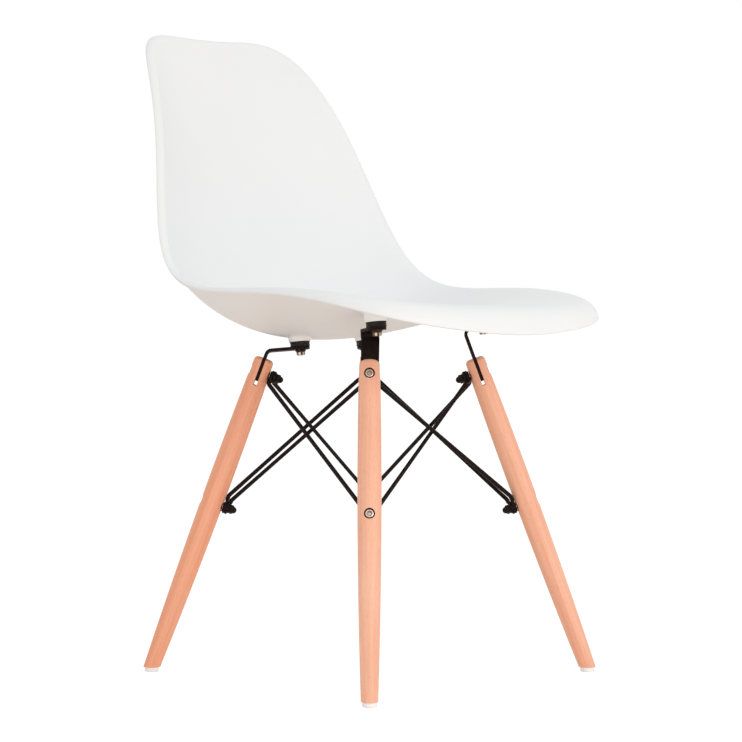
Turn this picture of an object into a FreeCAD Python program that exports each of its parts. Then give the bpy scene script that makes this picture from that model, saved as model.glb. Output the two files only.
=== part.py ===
import FreeCAD, Part
import math
import os

from FreeCAD import Matrix, Placement, Rotation, Vector

# Moulded shell chair on four turned beech legs, front towards -Y, standing on the XY plane.
# Each leg hangs by a bent steel bracket from a boss under the shell, and eight rods brace the legs.

doc = FreeCAD.newDocument("shell_chair")
sizes = doc.addObject("Spreadsheet::Sheet", "Sizes")
derived = doc.addObject("Spreadsheet::Sheet", "Derived")
scratch = doc.addObject("Spreadsheet::Sheet", "Scratch")

# Driving dimensions in millimetres and degrees
STATIONS = ["front", "fore", "pan", "hip", "lumbar", "back", "top"]
DRIVING = {
    # Shell: control polygon of the middle line, heights above the faces of the rear bosses
    "centre_y": [-237, -107, 30, 189, 222, 231, 304],
    "centre_z": [46, 58, 27, -90, 7, 212, 396],
    # Shell: control polygon of the side line, half width, depth and height
    "side_x": [230, 202, 217, 233, 227, 140, 155],
    "side_y": [-234, -110, 26, 170, 168, 165, 282],
    "side_z": [52, 81, 87, 10, 64, 268, 418],
}
SINGLE = {
    # Shell section, outline corners and rolled lip
    "bowl_power_front": 2.2,
    "bowl_power_pan": 2.1,
    "bowl_power_top": 2.3,
    "corner_power_front": 4.3,
    "corner_power_top": 5.2,
    "shell_wall": 5,
    "lip_radius_back": 9.5,
    "lip_radius_front": 38,
    "lip_fade_power": 5.7,
    "lip_turn_front": 79.5,
    "lip_turn_back": 97,
    # Bosses under the shell
    "boss_diameter": 28,
    "boss_tilt": 7,
    # Places of the bosses from the top of each leg: along the leg's radius and square to it
    "rear_boss_inward": 44.2,
    "rear_boss_backward": 4.95,
    "front_boss_outward": 10.4,
    "front_boss_forward": 7.85,
    "front_boss_lift": 27,
    "insert_diameter": 9,
    "insert_length": 8,
    "insert_pocket_depth": 9,
    "fit_gap": 0.05,
    # Rubber pads, brackets and seat bolts
    "pad_diameter": 25.5,
    "pad_height": 6.3,
    "plate_thickness": 4,
    "plate_width": 22.4,
    "flange_end_radius": 12,
    "plate_bend_radius": 7.5,
    "rear_bracket_rise": 10.1,
    "clearance_hole": 6.6,
    "screw_diameter": 6,
    "hex_width": 10,
    "hex_height": 4,
    "seat_washer_diameter": 14,
    "seat_washer_height": 1.6,
    "spring_washer_diameter": 11.8,
    "spring_washer_height": 1.6,
    "spring_washer_slit": 1.2,
    "seat_bolt_grip": 7,
    # Legs
    "leg_length": 418,
    "leg_lean": 20.2,
    "foot_radius": 277,
    "leg_top_diameter": 25.2,
    "leg_top_round": 5,
    "leg_neck_length": 6.5,
    "leg_neck_blend": 22,
    "leg_belly_diameter": 29,
    "leg_belly_from_top": 160,
    "leg_foot_diameter": 20,
    "slot_depth": 36,
    "slot_width": 4.4,
    "tang_depth": 30,
    "upper_bolt_from_top": 19,
    "lower_bolt_from_top": 195,
    "leg_bolt_hole": 6.4,
    "counterbore_diameter": 13,
    "counterbore_depth": 5,
    "bolt_head_diameter": 10,
    "bolt_head_height": 4,
    "bolt_socket_width": 5,
    "bolt_socket_depth": 2.6,
    # Rod ends and what clamps them
    "seat_gap": 0.2,
    "rod_diameter": 5.5,
    "eye_diameter": 16,
    "eye_thickness": 3,
    "eye_hole": 6.4,
    "rod_washer_diameter": 13,
    "rod_washer_height": 1.4,
    "rod_start_outer": 12,
    "rod_start_inner": 10.2,
    "elbow_reach_outer": 17.2,
    "elbow_reach_inner": 13,
    "elbow_radius_outer": 9,
    "elbow_radius_inner": 5,
    "rod_joggle_outer": 0.6,
    "rod_joggle_inner": 1.9,
    "cap_hex_height": 5.2,
    "cap_dome_diameter": 8.6,
    "cap_dome_height": 4.4,
    "cap_bore_depth": 7.2,
    "leg_bolt_grip": 6.5,
    # Foot glides
    "glide_height": 6,
    "glide_diameter": 17.5,
    "glide_round": 1.2,
    "nail_diameter": 2.4,
    "nail_length": 17,
    "nail_head_diameter": 6,
    "nail_head_height": 1,
    "nail_recess": 1.5,
    # The origin lies under the middle of the whole chair, the legs stand further forward
    "leg_centre_forward": 23,
}


def fill_sheet(sheet, values):
    """Write each value into its own row with its name as alias."""
    for row, (name, value) in enumerate(values.items(), 1):
        sheet.set(f"A{row}", name)
        sheet.set(f"B{row}", repr(value))
        sheet.setAlias(f"B{row}", name)
    doc.recompute()


table = {}
for line_name, values in DRIVING.items():
    for station, value in zip(STATIONS, values):
        table[f"{line_name}_{station}"] = value
table.update(SINGLE)
fill_sheet(sizes, table)


def size(name):
    """A driving dimension as a plain number."""
    return float(sizes.get(name))


def control_line(name):
    """The control values of one shell line, front to top."""
    return [size(f"{name}_{station}") for station in STATIONS]


# Places that follow from the driving dimensions
LEAN = math.radians(size("leg_lean"))
TILT = math.radians(size("boss_tilt"))
LEG_SIDES = {"rear_right": 45, "rear_left": 135, "front_left": 225, "front_right": 315}
BOSS_AXIS = Vector(0, math.sin(TILT), math.cos(TILT))
FOOT_EXTRA = 5.0


def leg_frame(azimuth):
    """Leg axis along local Z from the foot, local X square to it and outwards."""
    turn = Rotation(Vector(0, 0, 1), azimuth)
    out = turn.multVec(Vector(1, 0, 0))
    foot = out * size("foot_radius") + Vector(0, 0, size("glide_height"))
    return Placement(foot, turn * Rotation(Vector(0, 1, 0), -size("leg_lean")))


def leg_radius(from_top):
    """Radius of the turned leg: a neck, a cone and one long belly arc."""
    belly = size("leg_belly_diameter") / 2
    neck = size("leg_top_diameter") / 2
    start = size("leg_neck_length")
    end = start + size("leg_neck_blend")
    arc = belly_arc_radius()
    if from_top <= start:
        return neck
    along = max(from_top, end) - size("leg_belly_from_top")
    radius = belly - arc + math.sqrt(arc**2 - along**2)
    if from_top < end:
        return neck + (radius - neck) * (from_top - start) / (end - start)
    return radius


def belly_arc_radius():
    """Radius of the long arc through the widest place and the foot."""
    run = size("leg_length") + FOOT_EXTRA - size("leg_belly_from_top")
    drop = (size("leg_belly_diameter") - size("leg_foot_diameter")) / 2
    return (run**2 + drop**2) / (2 * drop)


LEG_LENGTH = size("leg_length")
UPPER_RADIUS = leg_radius(size("upper_bolt_from_top"))
LOWER_RADIUS = leg_radius(size("lower_bolt_from_top"))


def boss_plan(place):
    """Place of a boss seen from above, stepped off from the top of its leg."""
    top = leg_frame(LEG_SIDES[place]).multVec(Vector(0, 0, LEG_LENGTH))
    out = Vector(top.x, top.y, 0)
    out.normalize()
    ahead = Vector(0, 0, 1).cross(out)
    if place.startswith("rear"):
        reach, shift = -size("rear_boss_inward"), size("rear_boss_backward")
    else:
        reach, shift = size("front_boss_outward"), -size("front_boss_forward")
    if ahead.y < 0:
        ahead = ahead * -1
    return Vector(top.x, top.y, 0) + out * reach + ahead * shift


def boss_point(place):
    """Centre of a boss face, from the bracket stack over the leg tops."""
    lift = size("front_boss_lift") if place.startswith("front") else 0
    return boss_plan(place) + Vector(0, 0, REAR_BOSS_HEIGHT + lift)


def rear_boss_height():
    """The rear flange crosses the leg axis a set rise above the leg top."""
    frame = leg_frame(LEG_SIDES["rear_right"])
    corner = frame.multVec(Vector(0, 0, LEG_LENGTH + size("rear_bracket_rise")))
    flat = corner - boss_plan("rear_right")
    mid_height = flat.dot(BOSS_AXIS) / BOSS_AXIS.z
    return mid_height + (size("plate_thickness") / 2 + size("pad_height")) / BOSS_AXIS.z


REAR_BOSS_HEIGHT = rear_boss_height()


def boss_frame(place):
    """Local Z along the bolt, pointing up into the boss."""
    return Placement(boss_point(place), Rotation(Vector(1, 0, 0), -size("boss_tilt")))


def bracket_frame(place):
    """Local XY is the top of the flange, X runs to the bend and Y along the bend line."""
    leg = leg_frame(LEG_SIDES[place])
    tang_normal = leg.Rotation.multVec(Vector(1, 0, 0))
    bend = tang_normal.cross(BOSS_AXIS)
    bend.normalize()
    origin = boss_point(place) - BOSS_AXIS * size("pad_height")
    across = bend.cross(BOSS_AXIS)
    axis_foot = leg.Base
    axis = leg.Rotation.multVec(Vector(0, 0, 1))
    mid = origin - BOSS_AXIS * (size("plate_thickness") / 2)
    reach = (mid - axis_foot).dot(BOSS_AXIS) / axis.dot(BOSS_AXIS)
    corner = axis_foot + axis * reach
    if (corner - mid).dot(across) < 0:
        across = across * -1
        bend = bend * -1
    matrix = Matrix()
    matrix.A11, matrix.A21, matrix.A31 = across.x, across.y, across.z
    matrix.A12, matrix.A22, matrix.A32 = bend.x, bend.y, bend.z
    matrix.A13, matrix.A23, matrix.A33 = BOSS_AXIS.x, BOSS_AXIS.y, BOSS_AXIS.z
    matrix.A14, matrix.A24, matrix.A34 = origin.x, origin.y, origin.z
    return Placement(matrix), corner, reach


def bracket_values(place):
    """Corner of the plate's middle lines, the turn of the bend and the tang in the local frame."""
    frame, corner, reach = bracket_frame(place)
    back = frame.inverse()
    leg = leg_frame(LEG_SIDES[place])
    local = back.multVec(corner)
    down = back.Rotation.multVec(leg.Rotation.multVec(Vector(0, 0, -1)))
    side = back.Rotation.multVec(leg.Rotation.multVec(Vector(0, 1, 0)))
    fall = math.hypot(down.x, down.z)
    half = size("plate_width") / 2
    return {
        "corner_x": local.x,
        "corner_y": local.y,
        "fall_angle": math.degrees(math.atan2(-down.z, down.x)),
        "skew_angle": math.degrees(math.atan2(down.y, fall)),
        "corner_half": half / abs(side.y),
        "tang_length": reach - LEG_LENGTH + size("tang_depth"),
    }


derived_table = {
    "upper_leg_radius": UPPER_RADIUS,
    "lower_leg_radius": LOWER_RADIUS,
    "blend_end_radius": leg_radius(size("leg_neck_length") + size("leg_neck_blend")),
    "belly_arc_radius": belly_arc_radius(),
}
for bracket_place in ("front_left", "front_right", "rear_left", "rear_right"):
    for value_name, value in bracket_values(bracket_place).items():
        derived_table[f"{bracket_place}_{value_name}"] = value
fill_sheet(derived, derived_table)


def named(expression):
    """Turn bare size names in an expression into references to the sheets."""
    out = []
    word = ""
    for char in expression + " ":
        if char.isalnum() or char == "_":
            word += char
            continue
        if word in table:
            word = "Sizes." + word
        elif word in derived_table:
            word = "Derived." + word
        out.append(word + char)
        word = ""
    return "".join(out).strip()


def value_of(expression):
    """The number that an expression of size names gives."""
    scratch.set("A1", "=" + named(expression))
    scratch.recompute()
    result = scratch.get("A1")
    return float(getattr(result, "Value", result))


def new_body(label):
    """An empty body whose features make one piece."""
    body = doc.addObject("PartDesign::Body", label)
    body.Label = label
    return body


def plane_of(body, role):
    """One of the body's own origin planes."""
    return next(o for o in body.Origin.OriginFeatures if o.Role == role)


def new_sketch(body, name, role, offset=None):
    """A sketch on an origin plane of its body, or parallel to it."""
    sketch = body.newObject("Sketcher::SketchObject", name)
    sketch.AttachmentSupport = [(plane_of(body, role), "")]
    sketch.MapMode = "FlatFace"
    if offset is not None:
        sketch.AttachmentOffset = offset
    return sketch


def drive(sketch, kind, *items):
    """Add a constraint whose value comes from the sheets."""
    import Sketcher

    *targets, expression = items
    start = value_of(expression)
    index = sketch.addConstraint(Sketcher.Constraint(kind, *targets, start))
    sketch.setExpression(f"Constraints[{index}]", named(expression))


def draw_outline(sketch, corners):
    """Close a loop through corners (x, y) or (x, y, radius), where a radius bends the edge that ends there."""
    import Sketcher

    points = [Vector(value_of(c[0]), value_of(c[1]), 0) for c in corners]
    edges = []
    for k, corner in enumerate(corners):
        start, end = points[k - 1], points[k]
        if len(corner) == 2:
            edges.append(sketch.addGeometry(Part.LineSegment(start, end), False))
            continue
        radius = value_of(corner[2])
        chord = end - start
        left = Vector(-chord.y, chord.x, 0)
        left.normalize()
        rise = math.sqrt(max(abs(radius) ** 2 - chord.Length**2 / 4, 0))
        centre = (start + end) * 0.5 + left * math.copysign(rise, radius)
        middle = (start + end) * 0.5 - centre
        if middle.Length < 1e-4:
            middle = left * -math.copysign(1, radius)
        middle.normalize()
        arc = Part.Arc(start, centre + middle * abs(radius), end)
        edges.append(sketch.addGeometry(arc, False))
    starts = []
    for k, edge in enumerate(edges):
        first = 1
        if sketch.getPoint(edge, 1).distanceToPoint(points[k - 1]) > 1e-5:
            first = 2
        starts.append(first)
    for k, edge in enumerate(edges):
        after = (k + 1) % len(edges)
        sketch.addConstraint(
            Sketcher.Constraint("Coincident", edge, 3 - starts[k], edges[after], starts[after])
        )
    for k, corner in enumerate(corners):
        end = 3 - starts[k]
        drive(sketch, "DistanceX", -1, 1, edges[k], end, corner[0])
        drive(sketch, "DistanceY", -1, 1, edges[k], end, corner[1])
        if len(corner) == 3:
            drive(sketch, "Radius", edges[k], corner[2].lstrip("-"))
    doc.recompute()


def draw_circle(sketch, x, y, radius):
    """A circle whose place and radius come from the sheets."""
    edge = sketch.addGeometry(
        Part.Circle(Vector(value_of(x), value_of(y), 0), Vector(0, 0, 1), value_of(radius)), False
    )
    drive(sketch, "DistanceX", -1, 1, edge, 3, x)
    drive(sketch, "DistanceY", -1, 1, edge, 3, y)
    drive(sketch, "Radius", edge, radius)


def hexagon(width):
    """The six corners of a hexagon of a given width across flats."""
    return [
        (f"({width}) / 2 / cos(30 deg) * cos({60 * k} deg)", f"({width}) / 2 / cos(30 deg) * sin({60 * k} deg)")
        for k in range(6)
    ]


def pad(body, sketch, length, midplane=False, reverse=False):
    """Raise a sketch into a solid."""
    feature = body.newObject("PartDesign::Pad", sketch.Name + "_pad")
    feature.Profile = sketch
    feature.Midplane = midplane
    feature.Reversed = reverse
    feature.setExpression("Length", named(length))
    doc.recompute()
    return feature


def pocket(body, sketch, length, midplane=False, reverse=False):
    """Cut a sketch into the solid and make sure that it removed something."""
    before = body.Shape.Volume
    feature = body.newObject("PartDesign::Pocket", sketch.Name + "_cut")
    feature.Profile = sketch
    feature.Midplane = midplane
    feature.Reversed = reverse
    feature.setExpression("Length", named(length))
    doc.recompute()
    if not body.Shape.Volume < before - 1e-3:
        raise ValueError(f"{body.Label}: {sketch.Name} cuts nothing")
    return feature


def revolve(body, sketch):
    """Turn a half outline once round its vertical axis."""
    feature = body.newObject("PartDesign::Revolution", sketch.Name + "_turn")
    feature.Profile = sketch
    feature.ReferenceAxis = (sketch, ["V_Axis"])
    feature.Angle = 360
    doc.recompute()
    return feature


# Shell surface: a sheet carried on a middle line and a side line, cut to a rounded outline
CENTRE_Y = control_line("centre_y")
CENTRE_Z = control_line("centre_z")
SIDE_X = control_line("side_x")
SIDE_Y = control_line("side_y")
SIDE_Z = control_line("side_z")
BOWL_POWER = [size(f"bowl_power_{place}") for place in ("front", "pan", "top")]
RING_POINTS = 48
RINGS = [0, 0.25, 0.5, 0.75, 0.92, 1.0]
LIP_STEPS = [1 / 3, 2 / 3, 1.0]
LIP_SPAN = 0.075
STEP = 1e-4


def blend(controls, along):
    """Bezier curve of the control values at a share of the way from front to top."""
    n = len(controls) - 1
    return sum(math.comb(n, k) * along**k * (1 - along) ** (n - k) * c for k, c in enumerate(controls))


def sheet_point(across, length):
    """Point of the sheet: across and length both run from -1 to 1."""
    along = (length + 1) / 2
    rise = abs(across) ** blend(BOWL_POWER, along)
    y, z = blend(CENTRE_Y, along), blend(CENTRE_Z, along)
    return Vector(
        blend(SIDE_X, along) * across,
        y + (blend(SIDE_Y, along) - y) * rise,
        z + (blend(SIDE_Z, along) - z) * rise + REAR_BOSS_HEIGHT,
    )


def outline_place(angle, share):
    """Place on the rounded outline, shrunk by a share towards the middle of the sheet."""
    c, s = math.cos(angle), math.sin(angle)
    power = size("corner_power_front") if s < 0 else size("corner_power_top")
    reach = share * (abs(c) ** power + abs(s) ** power) ** (-1 / power)
    return reach * c, reach * s


def under_normal(across, length):
    """Unit normal of the sheet on the side of the legs."""
    cross_step = sheet_point(across + STEP, length) - sheet_point(across - STEP, length)
    long_step = sheet_point(across, length + STEP) - sheet_point(across, length - STEP)
    normal = long_step.cross(cross_step)
    normal.normalize()
    return normal


def lip_shape(angle):
    """Radius and turn of the rolled lip: wide at the front, narrow up the sides of the back."""
    front_share = (1 - math.sin(angle)) / 2
    back = size("lip_radius_back")
    radius = back + (size("lip_radius_front") - back) * front_share ** size("lip_fade_power")
    turn = size("lip_turn_front") + (size("lip_turn_back") - size("lip_turn_front")) * (1 - front_share) ** 2.3
    return radius, math.radians(turn)


def lip_points(angle, share):
    """Outer and inner point of the lip, a share of its turn past the crest."""
    place = outline_place(angle, 1)
    before = sheet_point(*outline_place(angle - STEP, 1))
    after = sheet_point(*outline_place(angle + STEP, 1))
    normal = under_normal(*place)
    outward = normal.cross(after - before)
    outward.normalize()
    radius, turn = lip_shape(angle)
    centre = sheet_point(*place) + normal * radius
    arm = outward * math.sin(turn * share) - normal * math.cos(turn * share)
    return centre + arm * radius, centre + arm * (radius - size("shell_wall"))


def shell_rows():
    """Rings of points on the seat side and on the leg side, from the middle to the lip's edge."""
    angles = [-math.pi / 2 + 2 * math.pi * k / RING_POINTS for k in range(RING_POINTS)]
    upper, under = [], []
    for share in RINGS:
        places = [outline_place(a, share) for a in angles]
        upper.append([sheet_point(*p) for p in places])
        under.append([sheet_point(*p) + under_normal(*p) * size("shell_wall") for p in places])
    for share in LIP_STEPS:
        pairs = [lip_points(a, share) for a in angles]
        upper.append([p[0] for p in pairs])
        under.append([p[1] for p in pairs])
    return upper, under


def ring_surface(rows, stations):
    """Smooth surface through rings of points, closed round and open across."""
    knots = [float(k) for k in range(RING_POINTS + 1)]
    ring = Part.BSplineCurve()
    poles = []
    for row in rows[1:] if stations[0] == 0 and len(rows) > 2 else rows:
        ring.interpolate(Points=row, PeriodicFlag=True, Parameters=knots)
        poles.append(ring.getPoles())
    if len(poles) < len(rows):
        poles.insert(0, [rows[0][0]] * len(poles[0]))
    columns = [[row[k] for row in poles] for k in range(len(poles[0]))]
    multiplicities, cross_knots, degree = [2, 2], [0, 1], 1
    if len(rows) > 2:
        line = Part.BSplineCurve()
        fitted = []
        for column in columns:
            line.interpolate(Points=column, Parameters=stations)
            fitted.append(line.getPoles())
        columns = fitted
        multiplicities, cross_knots, degree = line.getMultiplicities(), line.getKnots(), line.Degree
    surface = Part.BSplineSurface()
    surface.buildFromPolesMultsKnots(
        columns, ring.getMultiplicities(), multiplicities, ring.getKnots(), cross_knots,
        True, False, ring.Degree, degree,
    )
    return surface.toShape()


def moulded_shell():
    """The closed shell wall with its four bored bosses."""
    upper, under = shell_rows()
    stations = RINGS + [1 + LIP_SPAN * step for step in LIP_STEPS]
    faces = [
        ring_surface(upper, stations),
        ring_surface(under, stations),
        ring_surface([upper[-1], under[-1]], [0, 1]),
    ]
    skin = Part.makeShell(faces)
    skin.sewShape()
    wall = Part.makeSolid(skin if skin.ShapeType == "Shell" else skin.Shells[0])
    if wall.Volume < 0:
        wall.reverse()
    reach = size("front_boss_lift") + size("shell_wall") + 60
    shell = wall
    for place in LEG_SIDES:
        face, axis = boss_point(place), BOSS_AXIS
        post = Part.makeCylinder(size("boss_diameter") / 2, reach, face, axis)
        below = min(post.cut(wall).Solids, key=lambda piece: piece.CenterOfMass.z)
        shell = shell.fuse(below)
    shell = shell.removeSplitter()
    bore = size("insert_diameter") / 2 + size("fit_gap")
    for place in LEG_SIDES:
        shell = shell.cut(Part.makeCylinder(bore, size("insert_pocket_depth"), boss_point(place), BOSS_AXIS))
    return shell.Solids[0] if len(shell.Solids) == 1 else shell


seat_shell = doc.addObject("Part::Feature", "seat_shell")
seat_shell.Shape = moulded_shell()

pieces = [seat_shell]


def ring_body(label, outer, inner, height):
    """A flat ring, standing on its local XY plane."""
    body = new_body(label)
    sketch = new_sketch(body, label + "_outline", "XY_Plane")
    draw_circle(sketch, "0", "0", f"({outer}) / 2")
    draw_circle(sketch, "0", "0", f"({inner}) / 2")
    pad(body, sketch, height)
    return body


def place_copies(label, master, frames):
    """Identical pieces that share one node."""
    group = doc.addObject("Part::Feature", label)
    copies = []
    for frame in frames:
        copy = master.Shape.copy()
        copy.Placement = frame * copy.Placement
        copies.append(copy)
    group.Shape = Part.makeCompound(copies)
    pieces.append(group)
    return group


def lifted(frame, height):
    """A frame moved along its own Z."""
    return frame * Placement(Vector(0, 0, height), Rotation())


# Seat fixings: brass inserts, rubber pads, washers and hexagon bolts at the four bosses
BOSSES = {place: boss_frame(place) for place in LEG_SIDES}
PLATE = size("plate_thickness")
UNDER_FLANGE = -size("pad_height") - PLATE
UNDER_WASHER = UNDER_FLANGE - size("seat_washer_height")
UNDER_SPRING = UNDER_WASHER - size("spring_washer_height")

insert = ring_body("boss_insert_master", "insert_diameter", "screw_diameter", "insert_length")
place_copies("boss_inserts", insert, BOSSES.values())

for place, frame in BOSSES.items():
    rubber = ring_body(f"rubber_pad_{place}", "pad_diameter", "clearance_hole", "pad_height")
    rubber.Placement = lifted(frame, -size("pad_height"))
    pieces.append(rubber)

washer = ring_body("seat_washer_master", "seat_washer_diameter", "clearance_hole", "seat_washer_height")
place_copies("seat_washers", washer, [lifted(f, UNDER_WASHER) for f in BOSSES.values()])

spring = ring_body("spring_washer_master", "spring_washer_diameter", "clearance_hole", "spring_washer_height")
slit = new_sketch(spring, "spring_slit", "XY_Plane")
draw_outline(
    slit,
    [
        ("0", "-spring_washer_slit / 2"),
        ("spring_washer_diameter", "-spring_washer_slit / 2"),
        ("spring_washer_diameter", "spring_washer_slit / 2"),
        ("0", "spring_washer_slit / 2"),
    ],
)
pocket(spring, slit, "spring_washer_height * 2", midplane=True)
place_copies("seat_spring_washers", spring, [lifted(f, UNDER_SPRING) for f in BOSSES.values()])

seat_bolt = new_body("seat_bolt_master")
head = new_sketch(seat_bolt, "seat_bolt_hexagon", "XY_Plane")
draw_outline(head, hexagon("hex_width"))
pad(seat_bolt, head, "hex_height", reverse=True)
shank = new_sketch(seat_bolt, "seat_bolt_shank", "XY_Plane")
draw_circle(shank, "0", "0", "screw_diameter / 2 - fit_gap")
pad(
    seat_bolt,
    shank,
    "spring_washer_height + seat_washer_height + plate_thickness + pad_height + seat_bolt_grip",
)
place_copies("seat_bolts", seat_bolt, [lifted(f, UNDER_SPRING) for f in BOSSES.values()])


# Brackets: flat steel strip, one flange bolted under the boss and one tang let into the leg
def bracket(place):
    """Bend a wide strip round the bend line, then trim the flange and the tang to width."""
    label = f"leg_bracket_{place}"
    body = new_body(label)
    frame, _, _ = bracket_frame(place)
    values = {name: derived_table[f"{place}_{name}"] for name in bracket_values(place)}
    corner_x, corner_y = f"{place}_corner_x", f"{place}_corner_y"
    fall, half = f"{place}_fall_angle * 1deg", f"{place}_corner_half"
    # The middle line turns by the fall angle with the bend radius at half thickness
    setback = f"((plate_bend_radius) * tan(({fall}) / 2))"
    inside, outside = "(plate_bend_radius - plate_thickness / 2)", "(plate_bend_radius + plate_thickness / 2)"
    start_x = f"({corner_x} - {setback})"
    bend_zone = f"({setback} + plate_thickness / 2)"
    end_x = f"({corner_x} + {setback} * cos({fall}))"
    end_z = f"(-plate_thickness / 2 - {setback} * sin({fall}))"
    far = f"({place}_tang_length + plate_width)"
    far_x = f"({corner_x} + {far} * cos({fall}))"
    far_z = f"(-plate_thickness / 2 - {far} * sin({fall}))"
    off_x, off_z = f"(plate_thickness / 2 * sin({fall}))", f"(plate_thickness / 2 * cos({fall}))"
    strip = new_sketch(body, label + "_strip", "XZ_Plane")
    draw_outline(
        strip,
        [
            ("-flange_end_radius - 1", "0"),
            ("-flange_end_radius - 1", "-plate_thickness"),
            (start_x, "-plate_thickness"),
            (f"{end_x} - {off_x}", f"{end_z} - {off_z}", f"-{inside}"),
            (f"{far_x} - {off_x}", f"{far_z} - {off_z}"),
            (f"{far_x} + {off_x}", f"{far_z} + {off_z}"),
            (f"{end_x} + {off_x}", f"{end_z} + {off_z}"),
            (start_x, "0", f"{outside}"),
        ],
    )
    pad(body, strip, "plate_width * 3", midplane=True)

    flange = new_sketch(body, label + "_flange_trim", "XY_Plane")
    toward = math.hypot(values["corner_x"], values["corner_y"])
    side_x = f"(flange_end_radius * {corner_y} / {toward!r})"
    side_y = f"(flange_end_radius * {corner_x} / {toward!r})"
    wide = "(plate_width * 2)"
    trim_x = f"({corner_x} + plate_thickness)"
    draw_outline(
        flange,
        [
            (trim_x, f"{corner_y} + {half}"),
            (start_x, f"{corner_y} + {half}"),
            (f"-{side_x}", side_y),
            (f"-{side_y}", f"-{side_x}", "flange_end_radius"),
            (side_x, f"-{side_y}", "flange_end_radius"),
            (start_x, f"{corner_y} - {half}"),
            (trim_x, f"{corner_y} - {half}"),
            (trim_x, f"-{wide}"),
            ("-flange_end_radius - 3", f"-{wide}"),
            ("-flange_end_radius - 3", wide),
            (trim_x, wide),
        ],
    )
    pocket(body, flange, "plate_thickness + 1")

    # Trim plane of the tang: sketch X runs along the bend line, sketch Y up the plate
    fall_value = math.radians(values["fall_angle"])
    up = Vector(-math.cos(fall_value), 0, math.sin(fall_value))
    along = Vector(0, 1, 0)
    normal = along.cross(up)
    matrix = Matrix()
    matrix.A11, matrix.A21, matrix.A31 = along.x, along.y, along.z
    matrix.A12, matrix.A22, matrix.A32 = up.x, up.y, up.z
    matrix.A13, matrix.A23, matrix.A33 = normal.x, normal.y, normal.z
    matrix.A14, matrix.A24, matrix.A34 = values["corner_x"], values["corner_y"], -PLATE / 2
    tang = new_sketch(body, label + "_tang_trim", "XY_Plane", Placement(matrix))
    skew = f"{place}_skew_angle * 1deg"
    length = f"{place}_tang_length"
    drop_x, drop_y = f"({length} * sin({skew}))", f"(-{length} * cos({skew}))"
    cross_x, cross_y = f"(plate_width / 2 * cos({skew}))", f"(plate_width / 2 * sin({skew}))"
    deep = f"(-{far} - 2)"
    draw_outline(
        tang,
        [
            (half, "0"),
            (half, f"-{bend_zone}"),
            (f"{drop_x} + {cross_x}", f"{drop_y} + {cross_y}"),
            (f"{drop_x} - {cross_x}", f"{drop_y} - {cross_y}"),
            (f"-{half}", f"-{bend_zone}"),
            (f"-{half}", "0"),
            (f"-{wide}", "0"),
            (f"-{wide}", deep),
            (wide, deep),
            (wide, "0"),
        ],
    )
    pocket(body, tang, "plate_bend_radius * 2", midplane=True)

    hole = new_sketch(body, label + "_seat_hole", "XY_Plane")
    draw_circle(hole, "0", "0", "clearance_hole / 2")
    pocket(body, hole, "plate_thickness * 2", midplane=True)
    bolt_x = f"(({length} - tang_depth + upper_bolt_from_top) * sin({skew}))"
    bolt_y = f"(-({length} - tang_depth + upper_bolt_from_top) * cos({skew}))"
    bolt_hole = new_sketch(body, label + "_leg_hole", "XY_Plane", Placement(matrix))
    draw_circle(bolt_hole, bolt_x, bolt_y, "leg_bolt_hole / 2")
    pocket(body, bolt_hole, "plate_thickness * 2", midplane=True)
    body.Placement = frame
    pieces.append(body)


for place in LEG_SIDES:
    bracket(place)


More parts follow.
